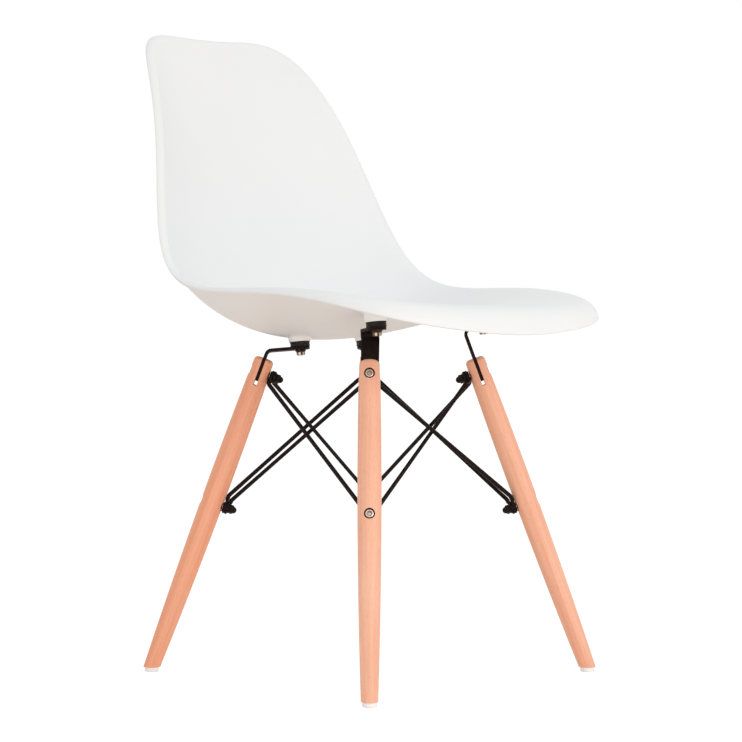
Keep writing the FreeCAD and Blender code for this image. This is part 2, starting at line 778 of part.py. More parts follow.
# Legs: turned beech, sawn across the top for the tang and cut level at the foot
def leg(place):
    """Turn the leg, then cut the foot, the slot, the bolt holes and the nail hole."""
    label = f"leg_{place}"
    body = new_body(label)
    turned = new_sketch(body, label + "_profile", "XZ_Plane")
    blend_start = "leg_length - leg_neck_length"
    draw_outline(
        turned,
        [
            ("0", "leg_length"),
            ("0", f"-{FOOT_EXTRA}"),
            ("leg_foot_diameter / 2", f"-{FOOT_EXTRA}"),
            ("blend_end_radius", f"{blend_start} - leg_neck_blend", "belly_arc_radius"),
            ("leg_top_diameter / 2", blend_start),
            ("leg_top_diameter / 2", "leg_length - leg_top_round"),
            ("leg_top_diameter / 2 - leg_top_round", "leg_length", "leg_top_round"),
        ],
    )
    revolve(body, turned)

    foot = new_sketch(body, label + "_foot_cut", "XZ_Plane")
    wide = "(leg_belly_diameter)"
    draw_outline(
        foot,
        [
            (f"-{wide}", f"{wide} * tan(leg_lean * 1deg)"),
            (f"-{wide}", f"-{wide} * 2"),
            (wide, f"-{wide} * 2"),
            (wide, f"-{wide} * tan(leg_lean * 1deg)"),
        ],
    )
    pocket(body, foot, "leg_belly_diameter * 2", midplane=True)

    slot = new_sketch(body, label + "_slot", "XZ_Plane")
    draw_outline(
        slot,
        [
            ("-slot_width / 2", "leg_length + 1"),
            ("-slot_width / 2", "leg_length - slot_depth"),
            ("slot_width / 2", "leg_length - slot_depth"),
            ("slot_width / 2", "leg_length + 1"),
        ],
    )
    pocket(body, slot, "leg_belly_diameter * 2", midplane=True)

    holes = new_sketch(body, label + "_bolt_holes", "YZ_Plane")
    draw_circle(holes, "0", "leg_length - upper_bolt_from_top", "leg_bolt_hole / 2")
    draw_circle(holes, "0", "leg_length - lower_bolt_from_top", "leg_bolt_hole / 2")
    pocket(body, holes, "leg_belly_diameter * 2", midplane=True)

    for level in ("upper", "lower"):
        floor = derived_table[f"{level}_leg_radius"] - size("counterbore_depth")
        offset = Placement(Vector(0, 0, floor), Rotation())
        recess = new_sketch(body, f"{label}_{level}_counterbore", "YZ_Plane", offset)
        recess.setExpression("AttachmentOffset.Base.z", named(f"{level}_leg_radius - counterbore_depth"))
        draw_circle(recess, "0", f"leg_length - {level}_bolt_from_top", "counterbore_diameter / 2")
        pocket(body, recess, "leg_belly_diameter / 2", reverse=True)

    nail_turn = Placement(Vector(0, 0, 0), Rotation(Vector(0, 1, 0), size("leg_lean")))
    nail_hole = new_sketch(body, label + "_nail_hole", "XY_Plane", nail_turn)
    draw_circle(nail_hole, "0", "0", "nail_diameter / 2 + fit_gap")
    pocket(body, nail_hole, "nail_length + nail_recess - glide_height + 1", reverse=True)
    body.Placement = leg_frame(LEG_SIDES[place])
    pieces.append(body)


for place in LEG_SIDES:
    leg(place)


# Glides: nylon discs nailed under the level feet
def glide(place):
    """A disc with a rounded lower edge and a stepped nail hole."""
    label = f"foot_glide_{place}"
    body = new_body(label)
    section = new_sketch(body, label + "_section", "XZ_Plane")
    bore, recess = "nail_diameter / 2 + fit_gap", "nail_head_diameter / 2 + fit_gap"
    step = "nail_recess + nail_head_height"
    draw_outline(
        section,
        [
            (bore, "glide_height"),
            (bore, step),
            (recess, step),
            (recess, "0"),
            ("glide_diameter / 2 - glide_round", "0"),
            ("glide_diameter / 2", "glide_round", "glide_round"),
            ("glide_diameter / 2", "glide_height"),
        ],
    )
    revolve(body, section)
    body.Placement = Placement(foot_point(place), Rotation())
    pieces.append(body)


def foot_point(place):
    """Where a glide stands on the floor."""
    base = leg_frame(LEG_SIDES[place]).Base
    return Vector(base.x, base.y, 0)


for place in LEG_SIDES:
    glide(place)

nail = new_body("glide_nail_master")
nail_section = new_sketch(nail, "nail_section", "XZ_Plane")
draw_outline(
    nail_section,
    [
        ("0", "nail_length"),
        ("0", "0"),
        ("nail_head_diameter / 2", "0"),
        ("nail_head_diameter / 2", "nail_head_height"),
        ("nail_diameter / 2", "nail_head_height"),
        ("nail_diameter / 2", "nail_length - nail_diameter / 2"),
    ],
)
revolve(nail, nail_section)
nail_frames = [
    Placement(foot_point(place) + Vector(0, 0, size("nail_recess")), Rotation()) for place in LEG_SIDES
]
place_copies("glide_nails", nail, nail_frames)


# Leg bolts and the stack on their inner ends: washer, two rod eyes, washer and cap nut
LEVELS = {"upper": UPPER_RADIUS, "lower": LOWER_RADIUS}


def inward_frame(place, level, reach):
    """Local Z runs inwards along a leg bolt from a distance off the leg axis."""
    height = LEG_LENGTH - size(f"{level}_bolt_from_top")
    turn = Rotation(Vector(0, 1, 0), -90)
    local = Placement(Vector(-reach, 0, height), turn)
    return leg_frame(LEG_SIDES[place]) * local


def stack(level):
    """Distances from the leg axis at which the pieces on a leg bolt begin."""
    washer_start = LEVELS[level] + size("seat_gap")
    first_eye = washer_start + size("rod_washer_height")
    second_eye = first_eye + size("eye_thickness")
    outer_washer = second_eye + size("eye_thickness")
    nut = outer_washer + size("rod_washer_height")
    return {"washer": washer_start, "eye_a": first_eye, "eye_b": second_eye, "outer": outer_washer, "nut": nut}


STACKS = {level: stack(level) for level in LEVELS}

rod_washer = ring_body("rod_washer_master", "rod_washer_diameter", "eye_hole", "rod_washer_height")
washer_frames = [
    inward_frame(place, level, STACKS[level][part])
    for level in LEVELS
    for place in LEG_SIDES
    for part in ("washer", "outer")
]
place_copies("rod_washers", rod_washer, washer_frames)

cap = new_body("cap_nut_master")
cap_hexagon = new_sketch(cap, "cap_hexagon", "XY_Plane")
draw_outline(cap_hexagon, hexagon("hex_width"))
pad(cap, cap_hexagon, "cap_hex_height")
cap_dome = new_sketch(cap, "cap_dome", "XZ_Plane")
dome_start = "cap_hex_height + cap_dome_height - cap_dome_diameter / 2"
draw_outline(
    cap_dome,
    [
        ("0", "cap_hex_height / 2"),
        ("cap_dome_diameter / 2", "cap_hex_height / 2"),
        ("cap_dome_diameter / 2", dome_start),
        ("0", "cap_hex_height + cap_dome_height", "cap_dome_diameter / 2"),
    ],
)
revolve(cap, cap_dome)
cap_bore = new_sketch(cap, "cap_bore", "XY_Plane")
draw_circle(cap_bore, "0", "0", "screw_diameter / 2")
pocket(cap, cap_bore, "cap_bore_depth", reverse=True)
cap_frames = [inward_frame(place, level, STACKS[level]["nut"]) for level in LEVELS for place in LEG_SIDES]
place_copies("cap_nuts", cap, cap_frames)

for level in LEVELS:
    floor = LEVELS[level] - size("counterbore_depth")
    bolt = new_body(f"leg_bolt_{level}_master")
    bolt_head = new_sketch(bolt, f"leg_bolt_{level}_head", "XY_Plane")
    draw_circle(bolt_head, "0", "0", "bolt_head_diameter / 2")
    pad(bolt, bolt_head, "bolt_head_height", reverse=True)
    bolt_shank = new_sketch(bolt, f"leg_bolt_{level}_shank", "XY_Plane")
    draw_circle(bolt_shank, "0", "0", "screw_diameter / 2 - fit_gap")
    reach = (
        f"2 * {level}_leg_radius - counterbore_depth + seat_gap + 2 * rod_washer_height"
        " + 2 * eye_thickness + leg_bolt_grip"
    )
    pad(bolt, bolt_shank, reach)
    below_head = Placement(Vector(0, 0, -size("bolt_head_height")), Rotation())
    bolt_socket = new_sketch(bolt, f"leg_bolt_{level}_socket", "XY_Plane", below_head)
    bolt_socket.setExpression("AttachmentOffset.Base.z", named("-bolt_head_height"))
    draw_outline(bolt_socket, hexagon("bolt_socket_width"))
    pocket(bolt, bolt_socket, "bolt_socket_depth", reverse=True)
    place_copies(f"leg_bolts_{level}", bolt, [inward_frame(p, level, -floor) for p in LEG_SIDES])


# Brace rods: round bar with a flat eye at each end, bent just behind the eyes
def flat_eye(centre, normal, along, start):
    """A pierced disc with a tab that narrows to the width of the rod."""
    radius, half = size("eye_diameter") / 2, size("rod_diameter") / 2
    reach = start + half
    thick = size("eye_thickness")
    side = normal.cross(along)
    low = centre - normal * (thick / 2)
    touch = math.atan2(half, reach) + math.acos(radius / math.hypot(half, reach))
    corners = [
        low + along * (radius * math.cos(touch)) + side * (radius * math.sin(touch)),
        low + along * reach + side * half,
        low + along * reach - side * half,
        low + along * (radius * math.cos(touch)) - side * (radius * math.sin(touch)),
    ]
    tab = Part.Face(Part.makePolygon(corners + corners[:1])).extrude(normal * thick)
    eye = Part.makeCylinder(radius, thick, low, normal).fuse(tab)
    return eye.cut(Part.makeCylinder(size("eye_hole") / 2, thick * 3, low - normal * thick, normal))


def bend(before, corner, after, radius):
    """Arc that rounds a corner of the rod's centre line."""
    back, on = before - corner, after - corner
    back.normalize()
    on.normalize()
    half_angle = back.getAngle(on) / 2
    setback = radius / math.tan(half_angle)
    middle_line = back + on
    middle_line.normalize()
    centre = corner + middle_line * (radius / math.sin(half_angle))
    return corner + back * setback, centre - middle_line * radius, corner + on * setback


def brace_rod(place, other, layer, run):
    """A rod from the upper bolt of one leg down to the lower bolt of the next."""
    middle = size("eye_thickness") / 2
    start, reach = size(f"rod_start_{run}"), size(f"elbow_reach_{run}")
    joggle = size(f"rod_joggle_{run}") * (-1 if run == "outer" else 1)
    ends = [
        inward_frame(place, "upper", STACKS["upper"][layer] + middle),
        inward_frame(other, "lower", STACKS["lower"][layer] + middle),
    ]
    centres = [end.Base for end in ends]
    normals = [end.Rotation.multVec(Vector(0, 0, 1)) for end in ends]
    eyes, starts, elbows = [], [], []
    for centre, normal, target in zip(centres, normals, reversed(centres)):
        along = target - centre
        along = along - normal * along.dot(normal)
        along.normalize()
        axis_point = centre + normal * joggle
        starts.append(axis_point + along * start)
        elbows.append(axis_point + along * reach)
        eyes.append(flat_eye(centre, normal, along, start))
    radius = size(f"elbow_radius_{run}")
    first = bend(starts[0], elbows[0], elbows[1], radius)
    second = bend(elbows[0], elbows[1], starts[1], radius)
    path = Part.Wire(
        [
            Part.makeLine(starts[0], first[0]),
            Part.Arc(*first).toShape(),
            Part.makeLine(first[2], second[0]),
            Part.Arc(*second).toShape(),
            Part.makeLine(second[2], starts[1]),
        ]
    )
    rod_radius = size("rod_diameter") / 2
    section = Part.Wire(Part.makeCircle(rod_radius, starts[0], elbows[0] - starts[0]))
    rod = path.makePipeShell([section], True, False)
    for end in starts:
        rod = rod.fuse(Part.makeSphere(rod_radius, end))
    for eye in eyes:
        rod = rod.fuse(eye)
    return rod.removeSplitter()


AROUND = list(LEG_SIDES)
SIDE_NAMES = {
    ("rear_right", "rear_left"): "rear",
    ("rear_left", "front_left"): "left",
    ("front_left", "front_right"): "front",
    ("front_right", "rear_right"): "right",
}
for k, place in enumerate(AROUND):
    following, previous = AROUND[(k + 1) % 4], AROUND[k - 1]
    for other, layer in ((following, "eye_a"), (previous, "eye_b")):
        side = SIDE_NAMES.get((place, other)) or SIDE_NAMES[(other, place)]
        run = "outer" if layer == "eye_a" else "inner"
        rod = doc.addObject("Part::Feature", f"brace_rod_{side}_{run}")
        rod.Shape = brace_rod(place, other, layer, run)
        pieces.append(rod)

# Everything moves back together, so that the origin lies under the middle of the chair
forward = Placement(Vector(0, -size("leg_centre_forward"), 0), Rotation())
for piece in pieces:
    piece.Placement = forward * piece.Placement
doc.recompute()

for item in doc.Objects:
    if "Invalid" in item.State or "Error" in item.State:
        raise ValueError(f"{item.Label} is {item.State}")
os.makedirs("parts", exist_ok=True)
for piece in pieces:
    if piece.Shape.isNull() or not piece.Shape.isValid() or not piece.Shape.Solids:
        raise ValueError(f"{piece.Label} has no valid solid")
    piece.Shape.exportStep(f"parts/{piece.Label}.step")
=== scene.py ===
import math

import bmesh
import bpy
import numpy as np
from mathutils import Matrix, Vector


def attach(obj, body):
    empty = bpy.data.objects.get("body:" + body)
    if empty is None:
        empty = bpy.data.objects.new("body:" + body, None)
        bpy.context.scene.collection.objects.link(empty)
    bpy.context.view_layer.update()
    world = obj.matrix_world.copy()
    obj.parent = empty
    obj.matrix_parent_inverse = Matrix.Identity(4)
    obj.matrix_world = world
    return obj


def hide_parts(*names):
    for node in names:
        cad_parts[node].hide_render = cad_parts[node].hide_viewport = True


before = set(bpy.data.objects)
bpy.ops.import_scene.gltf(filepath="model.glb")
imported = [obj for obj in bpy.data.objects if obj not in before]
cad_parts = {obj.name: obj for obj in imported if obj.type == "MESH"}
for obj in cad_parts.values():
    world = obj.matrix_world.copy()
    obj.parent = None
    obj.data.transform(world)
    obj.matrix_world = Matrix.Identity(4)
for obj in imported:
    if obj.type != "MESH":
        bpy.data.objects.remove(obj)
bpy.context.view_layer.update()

# Seat shell
# The real seat is one injection moulding in white polypropylene: a bucket that runs up into the
# back, about 5 mm thick, with its whole edge rolled over and four round bosses under the seat.
MM = 0.001
LEGS_FORWARD = 23 * MM
LEG_SIDES = {"rear_right": 45, "rear_left": 135, "front_left": 225, "front_right": 315}
LEAN, LEG_LENGTH, FOOT_RADIUS, GLIDE_HEIGHT = math.radians(20.2), 418 * MM, 277 * MM, 6 * MM
BOSS_TILT, BOSS_RADIUS, BOSS_FILLET = math.radians(7), 14 * MM, 3.5 * MM
BOSS_STEPS = {"rear": (-44.2, 4.95, 0), "front": (10.4, -7.85, 27)}
BRACKET_RISE, PAD_HEIGHT, PLATE = 10.1 * MM, 6.3 * MM, 4 * MM
WALL = 5 * MM
CENTRE_Y = np.array([-237, -107, 30, 189, 222, 231, 304]) * MM
CENTRE_Z = np.array([46, 58, 27, -90, 7, 212, 396]) * MM
SIDE_X = np.array([230, 202, 217, 233, 227, 140, 155]) * MM
SIDE_Y = np.array([-234, -110, 26, 170, 168, 165, 282]) * MM
SIDE_Z = np.array([52, 81, 87, 10, 64, 268, 418]) * MM
BOWL_POWER = np.array([2.2, 2.1, 2.3])
CORNER_FRONT, CORNER_TOP = 4.3, 5.2
LIP_RADIUS_BACK, LIP_RADIUS_FRONT, LIP_RADIUS_POWER = 9.5 * MM, 38 * MM, 5.7
LIP_TURN_BACK, LIP_TURN_FRONT, LIP_TURN_POWER = math.radians(97), math.radians(79.5), 2.3
EDGE_ROUNDING = 1.6 * MM
BOSS_BOTTOM = [(9, 0), (9, 4.55), (0.3, 4.55), (0, 4.9), (0, 13.2), (0.25, 13.75), (0.8, 14)]
BOSS_OVERLAP = 0.4 * MM
FILLET_ROWS, BOSS_COLUMNS = 9, 96
NUDGE, NEWTON_STEPS = 1e-4, 8
SEARCH_ACROSS, SEARCH_LENGTH = np.linspace(-0.7, 0.7, 57), np.linspace(-0.9, 0.4, 53)
ROW_POWER, EDGE_DEPTH_POWER, EDGE_TURN_POWER = 0.8, 0.6, 0.8
MERGE_DISTANCE, FLAT_ANGLE, EDGE_ANGLE = 2e-6, math.radians(0.3), math.radians(35)
BEVEL_SEGMENTS, NORMAL_WEIGHT = 3, 80


def linear(red, green, blue):
    """A colour given in screen values from 0 to 255, as the linear light that a shader works in."""
    screen = np.array([red, green, blue]) / 255
    light = np.where(screen <= 0.04045, screen / 12.92, ((screen + 0.055) / 1.055) ** 2.4)
    return (*(float(part) for part in light), 1.0)


class Shade:
    """A number in a shader: the signs + - * ** add the Math nodes that work it out."""

    def __init__(self, finish, socket):
        self.finish = finish
        self.socket = socket

    def math(self, operation, *values):
        return self.finish.node("ShaderNodeMath", {"operation": operation}, dict(enumerate(values)))

    def __add__(self, other):
        return self.math("ADD", self, other)

    def __sub__(self, other):
        return self.math("SUBTRACT", self, other)

    def __rsub__(self, other):
        return self.math("SUBTRACT", other, self)

    def __mul__(self, other):
        return self.math("MULTIPLY", self, other)

    def __pow__(self, other):
        return self.math("POWER", self, other)

    __radd__ = __add__
    __rmul__ = __mul__

    def ramp(self, low, high):
        """0 below low, 1 above high and a smooth step between them."""
        settings = {"interpolation_type": "SMOOTHSTEP"}
        inputs = {"Value": self, "From Min": low, "From Max": high}
        return self.finish.node("ShaderNodeMapRange", settings, inputs)


class Finish:
    """A material with one Principled shader, whose constants are set by name."""

    def __init__(self, name, **constants):
        self.material = bpy.data.materials.new(name)
        self.material.use_nodes = True
        self.tree = self.material.node_tree
        self.shader = self.tree.nodes["Principled BSDF"]
        for key, value in constants.items():
            self.shader.inputs[key.replace("_", " ")].default_value = value

    def put(self, socket, value):
        """Link a value into a socket, or set it where it is a plain number or colour."""
        if isinstance(value, Shade):
            self.tree.links.new(value.socket, socket)
        else:
            socket.default_value = value

    def node(self, kind, settings=None, inputs=None, output=0):
        """Any other node: its settings first, then its sockets, and the wanted output."""
        node = self.tree.nodes.new(kind)
        for key, value in (settings or {}).items():
            setattr(node, key, value)
        for key, value in (inputs or {}).items():
            self.put(node.inputs[key], value)
        return Shade(self, node.outputs[output])

    def place(self, **mapping):
        """Object coordinates in metres, moved, turned or scaled by a Mapping node."""
        coordinate = self.node("ShaderNodeTexCoord", output="Object")
        settings = {"vector_type": mapping.pop("kind", "POINT")}
        return self.node("ShaderNodeMapping", settings, {"Vector": coordinate, **mapping})

    def noise(self, place, scale, detail=2.0, roughness=0.5):
        """Fractal noise around one half."""
        inputs = {"Vector": place, "Scale": scale, "Detail": detail, "Roughness": roughness}
        return self.node("ShaderNodeTexNoise", None, inputs)

    def blend(self, share, first, second):
        """A colour between two colours."""
        settings = {"data_type": "RGBA"}
        return self.node("ShaderNodeMix", settings, {"Factor": share, "A": first, "B": second}, 2)

    def bump(self, height, depth):
        """Raise the surface by a height from 0 to 1 times a depth in metres."""
        inputs = {"Height": height, "Strength": 1.0, "Distance": depth}
        self.feed("Normal", self.node("ShaderNodeBump", None, inputs))

    def feed(self, name, value):
        """Give a socket of the Principled shader its value."""
        self.put(self.shader.inputs[name], value)


def leg_frame(place):
    """Foot point of a leg, and its outward, sideways and upward directions as three rows."""
    turn = math.radians(LEG_SIDES[place])
    out = np.array([math.cos(turn), math.sin(turn), 0])
    side = np.array([-math.sin(turn), math.cos(turn), 0])
    up = np.array([0, 0, 1])
    foot = out * FOOT_RADIUS + up * GLIDE_HEIGHT - np.array([0, LEGS_FORWARD, 0])
    normal = out * math.cos(LEAN) + up * math.sin(LEAN)
    return foot, np.array([normal, side, up * math.cos(LEAN) - out * math.sin(LEAN)])


def boss_plan(place):
    """Place of a boss seen from above: two steps from the leg's top, outwards and backwards."""
    foot, (_, side, axis) = leg_frame(place)
    reach, shift, _ = BOSS_STEPS[place.split("_")[0]]
    top = (foot + axis * LEG_LENGTH) * [1, 1, 0]
    out = np.cross(side, [0, 0, 1])
    return top + out * reach * MM + side * math.copysign(shift * MM, shift * side[1])


BOSS_AXIS = np.array([0, math.sin(BOSS_TILT), math.cos(BOSS_TILT)])
foot, (_, _, axis) = leg_frame("rear_right")
rear_plate = foot + axis * (LEG_LENGTH + BRACKET_RISE) - boss_plan("rear_right")
BOSS_HEIGHT = (rear_plate @ BOSS_AXIS + PLATE / 2 + PAD_HEIGHT) / BOSS_AXIS[2]


def boss_frame(place):
    """Centre of a boss face, with the boss axis as third direction."""
    lift = BOSS_STEPS[place.split("_")[0]][2] * MM
    centre = boss_plan(place) + np.array([0, 0, BOSS_HEIGHT + lift])
    side = np.array([1.0, 0, 0])
    return centre, np.array([side, np.cross(BOSS_AXIS, side), BOSS_AXIS])


def blend_line(controls, along):
    """Bezier line: each control value times its Bernstein weight at a share of the way."""
    order = len(controls) - 1
    return sum(
        math.comb(order, k) * along**k * (1 - along) ** (order - k) * control
        for k, control in enumerate(controls)
    )


def sheet_points(across, length):
    """Middle line plus half width times across; depth and height move from the middle line
    to the side line by the share |across| to the bowl power. Both run from -1 to 1."""
    along = (length + 1) / 2
    share = np.abs(across) ** blend_line(BOWL_POWER, along)
    y, z = blend_line(CENTRE_Y, along), blend_line(CENTRE_Z, along)
    x = blend_line(SIDE_X, along) * across
    y = y + (blend_line(SIDE_Y, along) - y) * share
    z = z + (blend_line(SIDE_Z, along) - z) * share
    return np.stack([x, y - LEGS_FORWARD, z + BOSS_HEIGHT], axis=-1)


def unit(vectors):
    """Vectors of length one."""
    return vectors / np.linalg.norm(vectors, axis=-1, keepdims=True)


def under_normals(across, length):
    """Cross product of the sheet's two slopes, on the side of the legs."""
    slope_across = sheet_points(across + NUDGE, length) - sheet_points(across - NUDGE, length)
    slope_along = sheet_points(across, length + NUDGE) - sheet_points(across, length - NUDGE)
    return unit(np.cross(slope_along, slope_across))


def under_points(across, length):
    """The sheet moved by the wall thickness towards the legs."""
    return sheet_points(across, length) + under_normals(across, length) * WALL


def outline(angle, share):
    """Superellipse, squarer at the top than in front: reach = share (|cos|^n + |sin|^n)^(-1/n)."""
    c, s = np.cos(angle), np.sin(angle)
    power = np.where(s < 0, CORNER_FRONT, CORNER_TOP)
    reach = share * (np.abs(c) ** power + np.abs(s) ** power) ** (-1 / power)
    return reach * c, reach * s


def shell_grid(columns=360, sheet_rows=60, lip_rows=15, edge_rows=9):
    """Rows of points from the middle of the seat side, over the rolled lip, to the middle of the
    leg side. The lip is an arc past the crest, its radius and turn fading from front to back."""
    angle = -np.pi / 2 + 2 * np.pi * np.arange(columns) / columns
    shares = np.sin(np.linspace(0, 1, sheet_rows) * np.pi / 2) ** ROW_POWER
    across, length = outline(angle[None, :], shares[:, None])
    crest_place = outline(angle, 1.0)
    crest, normal = sheet_points(*crest_place), under_normals(*crest_place)
    ahead, behind = (sheet_points(*outline(angle + turn, 1.0)) for turn in (NUDGE, -NUDGE))
    outward = unit(np.cross(normal, ahead - behind))
    front_share = (1 - np.sin(angle)) / 2
    wider, further = LIP_RADIUS_FRONT - LIP_RADIUS_BACK, LIP_TURN_BACK - LIP_TURN_FRONT
    radius = (LIP_RADIUS_BACK + wider * front_share**LIP_RADIUS_POWER)[:, None]
    turn = (LIP_TURN_FRONT + further * (1 - front_share) ** LIP_TURN_POWER)[:, None]
    corner = EDGE_ROUNDING / radius

    def lip(swing, depth):
        arm = outward * np.sin(swing) - normal * np.cos(swing)
        return crest + normal * radius + arm * (radius - depth)

    steps = np.linspace(0, 1, lip_rows)[1:]
    outer = [lip((turn - corner) * step, 0) for step in steps]
    rounding = np.linspace(0, np.pi, edge_rows)[1:-1]
    swell = np.sign(np.cos(rounding)) * np.abs(np.cos(rounding)) ** EDGE_DEPTH_POWER
    depths = WALL * (0.5 - 0.5 * swell)
    turns = [turn - corner * (1 - np.sin(t) ** EDGE_TURN_POWER) for t in rounding]
    edge = [lip(swing, depth) for swing, depth in zip(turns, depths)]
    inner = [lip((turn - corner) * step, WALL) for step in steps[::-1]]
    seat_side, leg_side = sheet_points(across, length), under_points(across, length)
    return np.array([*seat_side, *outer, *edge, *inner, *leg_side[::-1]])


def wall_height(place, radius, angle):
    """Height of the shell's leg side over a boss face. Newton steps on across and length move the
    point of the offset sheet until it stands over the wanted place of the boss frame."""
    centre, basis = boss_frame(place)
    wanted = np.stack([radius * np.cos(angle), radius * np.sin(angle)], axis=-1)
    grid = np.stack(np.meshgrid(SEARCH_ACROSS, SEARCH_LENGTH), axis=-1)
    near = (under_points(grid[..., 0], grid[..., 1]) - centre) @ basis.T
    start = grid.reshape(-1, 2)[np.argmin(np.hypot(near[..., 0], near[..., 1]))]
    spot = np.broadcast_to(start, wanted.shape).copy()
    for _ in range(NEWTON_STEPS):
        here = (under_points(spot[..., 0], spot[..., 1]) - centre) @ basis.T
        right = (under_points(spot[..., 0] + NUDGE, spot[..., 1]) - centre) @ basis.T
        ahead = (under_points(spot[..., 0], spot[..., 1] + NUDGE) - centre) @ basis.T
        slopes = np.stack([(right - here)[..., :2], (ahead - here)[..., :2]], axis=-1) / NUDGE
        spot += np.linalg.solve(slopes, (wanted - here[..., :2])[..., None])[..., 0]
    return here[..., 2]


def boss_grid(place):
    """Bore, face and side of a boss, then a fillet of radius f into the shell: the boss radius plus
    f (1 - cos t), and the shell's height minus f (1 - sin t)."""
    angle = 2 * np.pi * np.arange(BOSS_COLUMNS) / BOSS_COLUMNS
    rows = [np.full((2, BOSS_COLUMNS), [[radius], [height]]) * MM for height, radius in BOSS_BOTTOM]
    for turn in np.linspace(0, np.pi / 2, FILLET_ROWS):
        radius = np.full(BOSS_COLUMNS, BOSS_RADIUS + BOSS_FILLET * (1 - math.cos(turn)))
        height = wall_height(place, radius, angle) - BOSS_FILLET * (1 - math.sin(turn))
        rows.append((radius, height))
    rows.append((radius, height + BOSS_OVERLAP))
    local = np.array([[r * np.cos(angle), r * np.sin(angle), h] for r, h in rows]).swapaxes(1, 2)
    centre, basis = boss_frame(place)
    return centre + local @ basis


def grid_mesh(name, *grids):
    """One mesh from grids of points, each (rows, columns, 3) with rows that close on themselves."""
    points, faces, first = [], [], 0
    for grid in grids:
        count, columns = grid.shape[:2]
        here = first + np.arange(count * columns).reshape(count, columns)
        right = np.roll(here, -1, axis=1)
        quads = np.stack([here[:-1], right[:-1], right[1:], here[1:]], axis=-1)
        points.append(grid.reshape(-1, 3))
        faces.append(quads.reshape(-1, 4))
        first += count * columns
    mesh = bpy.data.meshes.new(name)
    mesh.from_pydata(np.concatenate(points).tolist(), [], np.concatenate(faces).tolist())
    return mesh


def mark(mesh, name, *values):
    """Give each point of a mesh a number that its finish reads by name."""
    layer = mesh.attributes.new(name, "FLOAT", "POINT")
    layer.data.foreach_set("value", np.concatenate([np.ravel(part) for part in values]))


def add_piece(name, mesh, finish, slot, *nodes, smooth_below=40, edge=0.0):
    """Link a mesh as a piece of the chair in place of its CAD nodes: doubled points are merged,
    faces look outwards, and edges sharper than 35 degrees are rounded by the edge width."""
    work = bmesh.new()
    work.from_mesh(mesh)
    bmesh.ops.remove_doubles(work, verts=work.verts, dist=MERGE_DISTANCE)
    bmesh.ops.recalc_face_normals(work, faces=work.faces)
    if edge:
        both = {"verts": work.verts, "edges": work.edges}
        bmesh.ops.dissolve_limit(work, angle_limit=FLAT_ANGLE, **both)
    work.to_mesh(mesh)
    work.free()
    mesh.materials.clear()
    mesh.materials.append(finish.material)
    mesh.shade_smooth()
    piece = bpy.data.objects.new(name, mesh)
    bpy.context.scene.collection.objects.link(piece)
    if edge:
        bevel = piece.modifiers.new("edges", "BEVEL")
        bevel.width, bevel.segments, bevel.limit_method = edge, BEVEL_SEGMENTS, "ANGLE"
        bevel.angle_limit = EDGE_ANGLE
        piece.modifiers.new("shading", "WEIGHTED_NORMAL").weight = NORMAL_WEIGHT
    else:
        mesh.set_sharp_from_angle(angle=math.radians(smooth_below))
    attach(piece, "root")
    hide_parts(*nodes)


plastic = Finish("white_polypropylene", IOR=1.49, Specular_IOR_Level=0.42)
skin = plastic.place()
cloud = plastic.noise(skin, scale=9.0, detail=3.0)
grit = plastic.noise(skin, scale=1500.0, roughness=0.7)
# Painted light: the thick attribute lifts the bosses' white to 252, fading out through their
# fillets, in place of the light that they lack in the shade under the seat.
thick = plastic.node("ShaderNodeAttribute", {"attribute_name": "thick"}, output="Fac")
white = plastic.blend(cloud, linear(235, 236, 237), linear(239, 240, 240))
plastic.feed("Base Color", plastic.blend(thick, white, linear(252, 252, 252)))
plastic.feed("Roughness", 0.40 + 0.08 * cloud + 0.05 * grit)
plastic.bump(grit, depth=0.02 * MM)
shell_grids = [shell_grid(), *(boss_grid(place) for place in LEG_SIDES)]
shell_mesh = grid_mesh("moulded_shell", *shell_grids)
from_shell = np.arange(len(shell_grids[1]))[::-1] / (FILLET_ROWS - 1)
boss_painted_light = np.clip(from_shell, 0, 1)[:, None] * np.ones(BOSS_COLUMNS)
shell_without_painted_light = np.zeros(shell_grids[0].shape[:2])
mark(shell_mesh, "thick", shell_without_painted_light, *[boss_painted_light] * len(LEG_SIDES))
add_piece("moulded_shell", shell_mesh, plastic, "shell_plastic", "seat_shell", smooth_below=50)


# Brass inserts
# Each boss is moulded round a threaded brass sleeve. Turning leaves fine rings on its end face,
# and its outside is knurled, so that it can't turn in the plastic.
def keep_node(name, finish):
    """Give a CAD node its finish and leave its shape."""
    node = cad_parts[name]
    node.data.materials.clear()
    node.data.materials.append(finish.material)


brass = Finish("turned_brass", Metallic=1.0)
ring_marks = brass.noise(brass.place(), scale=2200.0, roughness=0.6)
brass.feed("Base Color", brass.blend(ring_marks, linear(196, 158, 92), linear(222, 188, 122)))
brass.feed("Roughness", 0.22 + 0.25 * ring_marks)
brass.bump(ring_marks, depth=0.04 * MM)
keep_node("boss_inserts", brass)


# Rubber pads
# A black rubber disc sits between each boss and its bracket. Its two rims are rounded and stand a
# little proud of its side, and the moulded surface is dull with a fine grain.
def turned_grid(profile, frame_at, columns=64):
    """A profile of (height, radius) or (height, radius, flats) in mm, turned round the third axis
    of a frame. With flats the radius is cut to flats / 2 / cos(angle from the middle of a flat)."""
    angle = 2 * np.pi * np.arange(columns) / columns
    to_flat = np.cos(np.mod(angle, np.pi / 3) - np.pi / 6)
    rows = []
    for height, radius, *flats in profile:
        reach = np.full(columns, float(radius))
        if flats:
            reach = np.minimum(reach, flats[0] / 2 / to_flat)
        level = np.full(columns, float(height))
        rows.append(np.stack([reach * np.cos(angle), reach * np.sin(angle), level], axis=-1))
    origin, basis = frame_at
    return origin + (np.array(rows) * MM) @ basis


